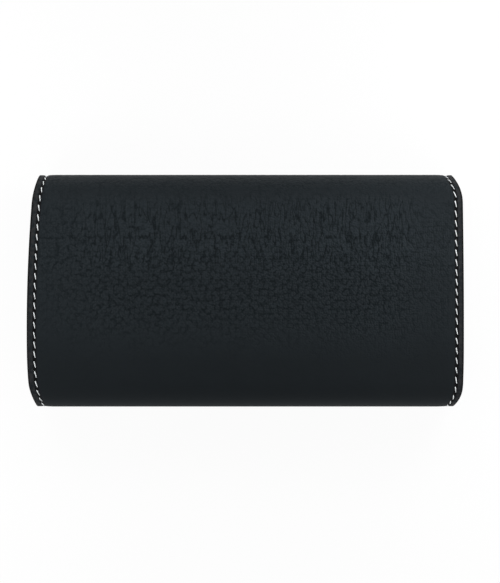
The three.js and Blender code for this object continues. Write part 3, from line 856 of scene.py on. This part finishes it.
def leather_sheet(name, rows, end_s):
    """One sheet of the wrap's leather. end_s is its real end; its other end is cut flat."""
    x = columns_at(rows)
    s = np.broadcast_to(rows[:, None], x.shape)
    edge = edge_distance(x, s, end_s)
    along, across = seam_places(x, s, end_s)
    in_channel = np.exp(-((across * MM / CHANNEL_WIDTH) ** 2))
    depth = EDGE_RADIUS * rounded(edge, EDGE_RADIUS) + channel_depth(s) * in_channel
    depth = depth + MARGIN_SINK * smooth(edge, PILLOW_WIDTH, SEAM_TO_EDGE)

    at_end = np.abs(rows - end_s) < EDGE_WIDTH + EDGE_RADIUS / 16
    inner = np.where(at_end, EDGE_BOTTOM, LEATHER)[:, None]
    turned = np.broadcast_to(TURNED_DEPTHS, (len(rows), len(TURNED_DEPTHS)))
    below = np.hstack([turned, inner])
    loop_x = np.hstack([x, x[:, -1:] - TURNED_INSETS, x[:, :1] + TURNED_INSETS[::-1]])
    loop_depth = np.hstack([depth, below, below[:, ::-1]])
    count, loop = x.shape[1], loop_x.shape[1]
    painted = np.ones((len(rows) - 1, loop), int)
    painted[:, :count - 1] = (edge[:-1, :-1] + edge[1:, 1:]) / 2 < PAINT_WIDTH
    slots = np.append(painted.ravel(), [1, 1])
    materials = [black_leather, edge_paint]
    piece = closed_sheet(name, loop_x, rows[:, None], loop_depth, materials, slots)

    def spread(values, rest):
        return np.pad(values, ((0, 0), (0, loop - count)), constant_values=rest).ravel()

    grain, creased = grain_masks(x, s)
    fading = smooth(np.abs(s - S_SPLIT), 0.0, SPLIT_FADE) * smooth(edge, PAINT_WIDTH, MARGIN_GRAIN)
    store(piece, "flat_mm", together(loop_x, rows[:, None], loop_depth) / MM)
    store(piece, "seam", together(spread(along, 0), spread(across, FAR_FROM_SEAM), 0))
    store(piece, "edge_mm", spread(edge / MM, 0))
    store(piece, "grain", spread(grain * fading * (1 - CHANNEL_SMOOTHING * in_channel), 0))
    store(piece, "creased", spread(creased, 0))
    return press_grain(piece)


def rows_to_end(start, end, end_s):
    """Rows that are closer near the sheet's real end, where its edge and corners are round."""
    rows = steps(start, end, ROW)
    special = end_s + inward(end_s) * np.hstack([END_ROWS, LIP_CORNER * CORNER_SHARES])
    away = np.abs(rows - end_s) > LIP_CORNER
    return np.unique(np.round(np.hstack([rows[away], special]), 7))


def make_leather():
    front_wall = leather_sheet("front_wall_leather", rows_to_end(0, S_SPLIT, 0.0), 0.0)
    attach(front_wall, "tray")
    below = rows_over([(S_SPLIT, COARSE_ROW), (START["spine"], COARSE_ROW / 1.5)], FOLD_START)
    rows = np.hstack([below, rows_to_end(FOLD_START, S_END, S_END)[1:]])
    wrap = leather_sheet("wrap_leather", rows, S_END)
    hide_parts("tray_leather", "cover_leather")
    bend(wrap)


def bend(piece):
    """The piece's placement goes into its mesh, and it keeps the closed case's shape."""
    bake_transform(piece)


# The suede lining, glued to the boards and turned in just short of the edges

def lining_sheet(name, rows):
    share = np.linspace(0, 1, int(CASE_WIDTH / LINING_COLUMN))
    left = -at("left", rows)[:, None] + LINING_INSET
    right = at("right", rows)[:, None] - LINING_INSET
    x = left + (right - left) * share
    from_side = np.minimum(x - left, right - x)
    roll = LINING_ROUND * rounded(from_side, LINING_ROUND)
    loop_x = np.hstack([x, x[:, ::-1]])
    loop_depth = np.hstack([LINING_TOP + roll / 2, (LINING_BOTTOM - roll / 2)[:, ::-1]])
    piece = closed_sheet(name, loop_x, rows[:, None], loop_depth, [suede_lining])
    store(piece, "flat_mm", together(loop_x, rows[:, None], loop_depth) / MM)
    return piece


def make_lining():
    front_rows = steps(LINING_INSET, S_SPLIT, COARSE_ROW)
    front = lining_sheet("front_wall_lining", front_rows)
    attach(front, "tray")
    rows = rows_over([
        (S_SPLIT, 2 * COARSE_ROW), (START["spine"], COARSE_ROW),
        (FOLD_START, ROW / 2), (FOLD_STOP, COARSE_ROW),
    ], S_END - LINING_INSET)
    wrap = lining_sheet("wrap_lining", rows)
    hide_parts("tray_lining", "cover_lining")
    bend(wrap)


# The end walls

def open_surface(name, grids, flats, facing, thickness, materials):
    """Grids of points as one sheet of one thickness, which lies behind the side that is seen."""
    faces, count = [], 0
    for grid in grids:
        rows, columns = grid.shape[:2]
        faces.extend(shifted(grid_faces(rows, columns), count))
        count += rows * columns
    points = np.vstack([grid.reshape(-1, 3) for grid in grids])
    piece = add_piece(name, points, faces, materials)
    materials[0].name.split(".")[0]
    store(piece, "flat_mm", np.vstack([flat.reshape(-1, 3) for flat in flats]) / MM)
    polygons = piece.data.polygons
    mean = (values_of(polygons, "normal", 3) * values_of(polygons, "area")).sum(axis=0)
    if np.dot(mean, facing) < 0:
        piece.data.flip_normals()
    adjust(piece.modifiers.new("weld", "WELD"), merge_threshold=WELD_DISTANCE)
    adjust(
        piece.modifiers.new("thickness", "SOLIDIFY"), thickness=thickness, offset=-1,
        use_even_offset=True, material_offset_rim=len(materials) - 1,
    )
    adjust(
        piece.modifiers.new("soften", "BEVEL"), width=thickness * SOFTEN_SHARE, segments=2,
        limit_method="ANGLE", angle_limit=math.radians(60),
    )
    return bake_modifiers(piece)


def arch(depth, front_end_y):
    """y and z of the arched top edge under the closed cover, from the rear to the front."""
    line = fold_up(0, ARCH_ROWS, depth)[:, 1:]
    return line[line[:, 0] > front_end_y]


def wall_grid(rim, edge, columns):
    """y, z and share of a grid that runs from a closed outline of rim and arch to its middle."""
    outline = np.vstack([rim, edge])
    low, high = outline.min(axis=0), outline.max(axis=0)
    half = (high[1] - low[1]) / 2
    middle_y = np.clip(outline[:, 0], low[0] + half, high[0] - half)
    middle = np.column_stack([middle_y, np.full(len(outline), low[1] + half)])
    share = np.linspace(0, 1, columns)[None, :, None]
    grid = outline[:, None] + (middle[:, None] - outline[:, None]) * share
    grid = np.vstack([grid, grid[:1]])
    return grid[..., 0], grid[..., 1], share[..., 0]


def gusset_leather_wall(side, end):
    depth = INSIDE + GUSSET_THICKNESS
    edge = at(side, WALL_ROWS)[:, None] - FLANGE_INSET
    from_end = np.minimum(WALL_ROWS - WALL_ROWS[0], WALL_ROWS[-1] - WALL_ROWS)[:, None]
    radius = GUSSET_END_BEND + (GUSSET_BEND - GUSSET_END_BEND) * smooth(from_end, 0, GUSSET_FADE)
    bend_start = WALL_FACE + radius
    flange = edge + (bend_start - edge) * np.linspace(0, 1, 6)
    turn = np.radians(np.linspace(0, 90, 6))[1:]
    bend_depth = depth + radius * (1 - np.cos(turn))
    rim_x = np.hstack([flange, bend_start - radius * np.sin(turn)])
    rim_depth = np.hstack([np.full_like(flange, depth), bend_depth])
    rim = fold_up(end["sign"] * rim_x, WALL_ROWS[:, None], rim_depth)
    y, z, share = wall_grid(rim[:, -1, 1:], arch(ARCH_DEPTH, wall_front_y), 18)
    out = WALL_FACE + GUSSET_BULGE * np.sin(math.pi / 2 * share)
    piece = open_surface(
        f"end_wall_{side}_leather", [rim, together(end["sign"] * out, y, z)],
        [together(WALL_ROWS[:, None], rim_x, 0), together(y, z, 0)],
        (end["sign"], 0, 0), GUSSET_THICKNESS, [gusset_leather, edge_paint],
    )
    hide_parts(f"gusset_{side}_leather")
    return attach(piece, "tray")


def gusset_lining_wall(side, end):
    rim = fold_up(0, WALL_ROWS, INSIDE + WALL_LINING_GAP)[:, 1:]
    y, z, _ = wall_grid(rim, arch(ARCH_DEPTH, rim[0, 0]), 16)
    piece = open_surface(
        f"end_wall_{side}_lining", [together(end["sign"] * WALL_INSIDE, y, z)], [together(y, z, 0)],
        (-end["sign"], 0, 0), GUSSET_LINING, [suede_lining],
    )
    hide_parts(f"gusset_{side}_lining")
    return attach(piece, "tray")


def gusset_binding(side, end):
    """Thin leather folded over the end wall's arched edge, which covers board and lining."""
    top = ARCH_DEPTH - BINDING
    turn = np.radians(np.linspace(0, 90, 5))
    leg = steps(top + BINDING_WIDTH, top + BINDING_ROUND, ROW)[:-1]
    corner_x = HEM_OUTSIDE - BINDING_ROUND * (1 - np.cos(turn))
    half_x = np.hstack([np.full(len(leg), HEM_OUTSIDE), corner_x])
    half_depth = np.hstack([leg, top + BINDING_ROUND * (1 - np.sin(turn))])
    across_x = np.hstack([half_x, (HEM_OUTSIDE + HEM_INSIDE) - half_x[::-1]])
    across_depth = np.hstack([half_depth, half_depth[::-1]])
    points = fold_up(end["sign"] * across_x, ARCH_ROWS[:, None], across_depth)
    run = run_along(np.column_stack([across_x, across_depth]))
    piece = open_surface(
        f"end_wall_{side}_binding", [points], [together(ARCH_ROWS[:, None], run, 0)],
        (0, 0, 1), BINDING, [gusset_leather, edge_paint],
    )
    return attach(piece, "tray")


def hem_stitches(end, x, facing):
    """The seam along the arch, on one side of the wall: how many stitches, and their places."""
    line = arch(ARCH_DEPTH + HEM_SEAM, wall_front_y + HEM_SEAM)
    run = run_along(line)
    count = int(run[-1] / PITCH)
    start = (run[-1] - count * PITCH) / 2

    def on_line(where, key):
        return np.interp(where, run, line[:, key])

    def place(along, across, lift):
        where = start + along
        step_y, step_z = (on_line(where + ROW, key) - on_line(where - ROW, key) for key in (0, 1))
        length = np.hypot(step_y, step_z)
        y = on_line(where, 0) - across * step_z / length
        z = on_line(where, 1) + across * step_y / length
        return together(end["sign"] * (x + facing * lift), y, z)

    return count, place


def make_end_walls():
    for side, end in ENDS.items():
        gusset_leather_wall(side, end)
        gusset_lining_wall(side, end)
        gusset_binding(side, end)
        hem = sew(f"end_wall_{side}_stitches", *hem_stitches(end, HEM_OUTSIDE, 1))
        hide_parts(f"gusset_{side}_seam")
        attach(hem, "tray")
        inside = sew(f"end_wall_{side}_inner_stitches", *hem_stitches(end, HEM_INSIDE, -1))
        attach(inside, "tray")


# The pads: suede over a thin foam, sewn down inside their rounded border

def pad_shape(from_s, to_s):
    """x, s and distance to the pad's border on an even grid with rounded corners."""
    s = rows_over([
        (from_s, PAD_STEP), (from_s + PAD_CORNER, PAD_MIDDLE_STEP), (to_s - PAD_CORNER, PAD_STEP),
    ], to_s)[:, None]
    half = PAD_HALF_WIDTH - PAD_CORNER * rounded(np.minimum(s - from_s, to_s - s), PAD_CORNER)
    near = half - steps(0, PAD_CORNER, PAD_STEP)
    middle = near[:, -1:] * np.linspace(-1, 1, 90)[1:-1]
    x = np.hstack([-near, middle, near[:, ::-1]])
    past_x = np.abs(x) - (PAD_HALF_WIDTH - PAD_CORNER)
    past_s = np.abs(s - (from_s + to_s) / 2) - ((to_s - from_s) / 2 - PAD_CORNER)
    outside = np.hypot(np.maximum(past_x, 0), np.maximum(past_s, 0))
    border = PAD_CORNER - outside - np.minimum(np.maximum(past_x, past_s), 0)
    return x, np.broadcast_to(s, x.shape), np.maximum(border, 0)


def puff(from_s, to_s):
    """How high the foam pushes up the suede inside the seam: a cloth blown up between stitches.

    Gives the grid's x and s, and the height at each of its points."""
    x = steps(-PAD_HALF_WIDTH + PAD_SEAM, PAD_HALF_WIDTH - PAD_SEAM, PUFF_GRID)
    s = steps(from_s + PAD_SEAM, to_s - PAD_SEAM, PUFF_GRID)
    flat_x, flat_s = np.meshgrid(x, s)
    inside = np.pad(np.ones((len(s) - 2, len(x) - 2), bool), 1)
    height = PUFF_START * PUFF_RANDOM.uniform(0.2, 1.0, flat_x.shape) * inside
    cloth = add_piece("puff", together(flat_x, flat_s, height), grid_faces(*flat_x.shape), [])
    pinned = cloth.vertex_groups.new(name="pinned")
    pinned.add(np.flatnonzero(~inside.ravel()).tolist(), 1.0, "REPLACE")
    modifier = cloth.modifiers.new("cloth", "CLOTH")
    adjust(modifier.settings, vertex_group_mass="pinned", use_pressure=True, **PUFF_SETTINGS)
    modifier.settings.effector_weights.gravity = 0
    adjust(modifier.point_cache, frame_start=1, frame_end=PUFF_FRAMES)
    for number in range(1, PUFF_FRAMES + 1):
        bpy.context.scene.frame_set(number)
    bake_modifiers(cloth)
    risen = np.abs(values_of(cloth.data.vertices, "co", 3)[:, 2]).reshape(flat_x.shape)
    bpy.data.objects.remove(cloth)
    bpy.context.scene.frame_set(1)
    return x, s, PAD_CROWN * (1 - np.exp(-risen / PAD_CROWN))


def crown_at(x, s, puffed):
    """The puffed height at any places, read between the grid's points; 0 outside the seam."""
    grid_x, grid_s, height = puffed
    column = np.interp(x, grid_x, np.arange(len(grid_x)))
    row = np.interp(s, grid_s, np.arange(len(grid_s)))
    left = np.minimum(column.astype(int), len(grid_x) - 2)
    low = np.minimum(row.astype(int), len(grid_s) - 2)
    part_x, part_s = column - left, row - low
    near = height[low, left] * (1 - part_x) + height[low, left + 1] * part_x
    far = height[low + 1, left] * (1 - part_x) + height[low + 1, left + 1] * part_x
    return near * (1 - part_s) + far * part_s


def make_pad(name, body, replaced, from_s, to_s):
    x, s, border = pad_shape(from_s, to_s)
    rise = PAD_THICKNESS * (1 - rounded(border, PAD_ROUND)) + crown_at(x, s, puff(from_s, to_s))
    rise = rise - PAD_PINCH * np.exp(-(((border - PAD_SEAM) / PINCH_WIDTH) ** 2))
    under = INSIDE + PAD_LIFT * (border > 0)
    loop_x = np.hstack([x, x[:, ::-1]])
    loop_s = np.hstack([s, s[:, ::-1]])
    loop_depth = np.hstack([INSIDE + rise, under[:, ::-1]])
    piece = closed_sheet(name, loop_x, loop_s, loop_depth, [pad_suede], flat_caps=False)
    store(piece, "flat_mm", together(loop_x, loop_s, 0) / MM)
    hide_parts(replaced)
    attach(piece, body)
    seam = sew(
        name + "_stitches", *border_stitches(from_s, to_s),
        rings=9, sides=7, radius=PAD_THREAD, length=PAD_PITCH,
    )
    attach(seam, body)


def border_stitches(from_s, to_s):
    """Stitches round the pad's rounded border: how many, and their places."""
    half_x, half_s = PAD_HALF_WIDTH - PAD_SEAM, (to_s - from_s) / 2 - PAD_SEAM
    radius = PAD_CORNER - PAD_SEAM
    angle = np.radians(np.linspace(0, 90, 12) + 90 * np.arange(4)[:, None])
    middles = np.array([(1, 1), (-1, 1), (-1, -1), (1, -1)]) * (half_x - radius, half_s - radius)
    corners = middles[:, None] + radius * np.stack([np.cos(angle), np.sin(angle)], axis=-1)
    ring = np.vstack([*corners, corners[0, :1]])
    run = run_along(ring)
    count = int(run[-1] / PAD_PITCH)
    stretch = run[-1] / (count * PAD_PITCH)

    def on_ring(where):
        return [np.interp(where % run[-1], run, ring[:, key]) for key in (0, 1)]

    def place(along, across, lift):
        where = (along * stretch) % run[-1]
        (x, s), (ahead_x, ahead_s) = on_ring(where), on_ring(where + PAD_STEP)
        dx, ds = ahead_x - x, ahead_s - s
        length = np.maximum(np.hypot(dx, ds), 0.01 * MM)
        depth = INSIDE + PAD_THICKNESS - PAD_PINCH + lift
        middle = (from_s + to_s) / 2
        return fold_up(x - across * ds / length, middle + (s + across * dx / length), depth)

    return count, place


def make_pads():
    base = START["base"] + PAD_END_INSET, START["spine"] - PAD_END_INSET
    cover = START["crown"] + PAD_END_INSET, START["lip_roll"] - PAD_END_INSET
    make_pad("base_pad_suede", "tray", "base_pad", *base)
    make_pad("cover_pad_suede", "cover", "cover_pad", *cover)


# Sewing: separate stitches, each a twisted thread that dives into a needle hole at both ends

def sew(name, count, place, rings=14, sides=12, lean=0.0, radius=THREAD_RADIUS, length=PITCH):
    """One piece of count stitches. place turns (along, across, lift) arrays into points."""
    around = np.linspace(0, 2 * math.pi, sides, endpoint=False)
    share = np.linspace(0, 1, rings)[:, None]
    from_middle = 2 * share - 1
    run = (share - 0.5) * STITCH_SHARE
    arch = 1 - np.abs(from_middle) ** ARCH_POWER
    slope = -ARCH_POWER * 2 * np.sign(from_middle) * np.abs(from_middle) ** (ARCH_POWER - 1)
    tilt = np.arctan(slope * DIVE / (length * STITCH_SHARE))
    swell = STITCH_TIP + (1 - STITCH_TIP) * np.sqrt(np.clip(arch, 0, 1))
    thick = radius * swell * (1 + STITCH_TAPER * (0.35 - share))
    points, ply_values, faces = [], [], []
    ring_block = ring_faces(rings, sides)
    for index in range(count):
        turn = PLY_TURNS * 2 * math.pi * share + RANDOM.uniform(0, 2 * math.pi)
        lobes = np.abs(np.cos(PLIES / 2 * (around - turn)))
        r = thick * (1 - PLY_DEPTH + PLY_DEPTH * lobes)
        up = r * np.cos(around)
        loose = RANDOM.uniform(-1, 1) * STITCH_JITTER
        along = (index + 0.5 + run) * length - up * np.sin(tilt) + loose
        lift = SEAT + DIVE * (arch - 1) + up * np.cos(tilt)
        across = r * np.sin(around) + lean * from_middle + RANDOM.uniform(-1, 1) * STITCH_JITTER / 2
        points.append(place(along, across, lift).reshape(-1, 3))
        ply_values.append(together(lobes, 1 - arch, float(index)).reshape(-1, 3))
        faces.extend(shifted(ring_block, index * rings * sides))
    piece = add_piece(name, np.vstack(points), faces, [sewing_thread])
    store(piece, "ply", np.vstack(ply_values))
    return piece


def side_stitches(side, end, from_s, to_s):
    """How many whole stitches lie between two lengths, and where they are."""
    start = stitch_start(end)
    first = math.ceil((from_s - start) / PITCH)
    count = math.floor((to_s - start) / PITCH) - first
    first_s = start + first * PITCH

    def place(along, across, lift):
        s = first_s + along
        x = end["sign"] * (at(side, s) - end["seam_inset"]) + across
        return fold_up(x, s, channel_depth(s) - lift)

    return count, place


def end_stitches(end_s):
    first, last = end_seam_span(end_s)

    def place(along, across, lift):
        s = end_s + inward(end_s) * SEAM_TO_EDGE + across
        return fold_up(first + along, s, channel_depth(s) - lift)

    return round((last - first) / PITCH), place


def make_stitches():
    for side, end in ENDS.items():
        count, place = side_stitches(side, end, SEAM_TO_EDGE, S_SPLIT)
        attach(sew(f"front_wall_stitches_{side}", count, place, lean=LEAN), "tray")
        count, place = side_stitches(side, end, S_SPLIT, S_END - SEAM_TO_EDGE)
        run = sew(f"wrap_stitches_{side}", count, place, rings=16, sides=14, lean=LEAN)
        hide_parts(f"tray_seam_{side}", f"cover_seam_{side}")
        bend(run)
    for body, name, end_s in (("tray", "mouth", 0.0), ("cover", "lip", S_END)):
        seam = sew(f"{name}_stitches", *end_stitches(end_s), lean=LEAN)
        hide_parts(f"{body}_seam_{name}")
        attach(seam, body)


# The floor, the lights and the camera of the photo

def make_floor():
    """White paper that lamps light as paper, and that looks almost evenly white by itself."""
    material, n = new_material("paper_floor", (0.9, 0.9, 0.9))
    shader = n.shade(rgba(0.9, 0.9, 0.9), 0.9, shine=0.1)
    rays = n.add("ShaderNodeLightPath").outputs
    seen = n.maths("MAXIMUM", rays["Is Camera Ray"], rays["Is Glossy Ray"])
    seen = n.maths("MAXIMUM", seen, rays["Is Transmission Ray"])
    white = n.add("ShaderNodeEmission", {"Color": rgba(1, 1, 1), "Strength": 1.0})
    surfaces = {0: n.times(seen, WHITE_SHARE), 1: shader.outputs[0], 2: white.outputs[0]}
    both = n.add("ShaderNodeMixShader", surfaces).outputs[0]
    n.fill(material.node_tree.nodes["Material Output"], {"Surface": both})
    mesh = bpy.data.meshes.new("floor")
    signs = ((-1, -1), (1, -1), (1, 1), (-1, 1))
    corners = [(x * FLOOR_HALF, y * FLOOR_HALF, FLOOR_Z) for x, y in signs]
    mesh.from_pydata(corners, [], [(0, 1, 2, 3)])
    mesh.materials.append(material)
    add_object("floor", mesh)


def softbox(name, place, size, power):
    light = bpy.data.lights.new(name, "AREA")
    adjust(light, shape="RECTANGLE", size=size[0], size_y=size[1], energy=power)
    turned = (LIGHT_TARGET - Vector(place)).to_track_quat("-Z", "Y").to_euler()
    adjust(add_object(name, light), location=place, rotation_euler=turned, visible_camera=False)


def make_lights():
    world = bpy.data.worlds.new("studio")
    world.use_nodes = True
    shader = world.node_tree.nodes["Background"]
    shader.inputs["Color"].default_value = rgba(0.95, 0.98, 1.0)
    shader.inputs["Strength"].default_value = WORLD_STRENGTH
    bpy.context.scene.world = world
    for name, (place, size, power) in SOFTBOXES.items():
        softbox(name, place, size, power)


def make_camera():
    data = bpy.data.cameras.new("photo_camera")
    adjust(data, lens=LENS, sensor_width=SENSOR, clip_start=0.05, clip_end=20)
    distance = LENS / SENSOR * PHOTO_HEIGHT * PIXEL
    camera = add_object("photo_camera", data)
    camera.location = (CAMERA_X, CAMERA_Y, FOCUS_Z + distance)
    bpy.context.scene.camera = camera


def dress_frame():
    """The boards and magnets keep their solids, and get their materials."""
    materials = {"fibre_board": fibre_board, "magnet_nickel": magnet_nickel}
    for record in frame["record"]["subparts"]:
        if record["material_slot"] in materials:
            mesh = frame["nodes"][record["node"]].data
            mesh.materials.clear()
            mesh.materials.append(materials[record["material_slot"]])


make_pads()
dress_frame()
make_leather()
make_lining()
make_end_walls()
make_stitches()
make_floor()
make_lights()
make_camera()

bpy.context.scene.view_settings.view_transform = "Standard"
